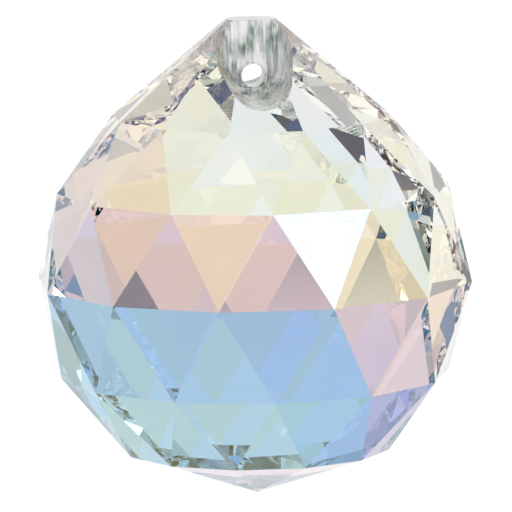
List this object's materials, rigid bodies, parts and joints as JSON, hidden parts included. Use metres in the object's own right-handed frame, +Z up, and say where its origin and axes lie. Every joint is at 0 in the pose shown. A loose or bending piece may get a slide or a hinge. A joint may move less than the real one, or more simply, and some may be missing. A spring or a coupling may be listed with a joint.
{
  "type": "crystal suncatcher ball",
  "caption": "Clear faceted crystal ball that hangs by a cross hole in its pointed crown, with ground recesses in front of and behind the hole.",
  "frame": {"origin": "middle of the hanging hole, on the ball's upright axis", "axes": "+Z up as it hangs, +Y along the hanging hole; a recess opens towards -Y and its twin towards +Y"},
  "size_m": [0.0386, 0.0386, 0.0436],
  "materials": {
    "crystal": "clear polished crystal with a thin iridescent coating; recesses left as ground"
  },
  "bodies": {
    "root": {"crystal_ball": "crystal"}
  },
  "joints": []
}
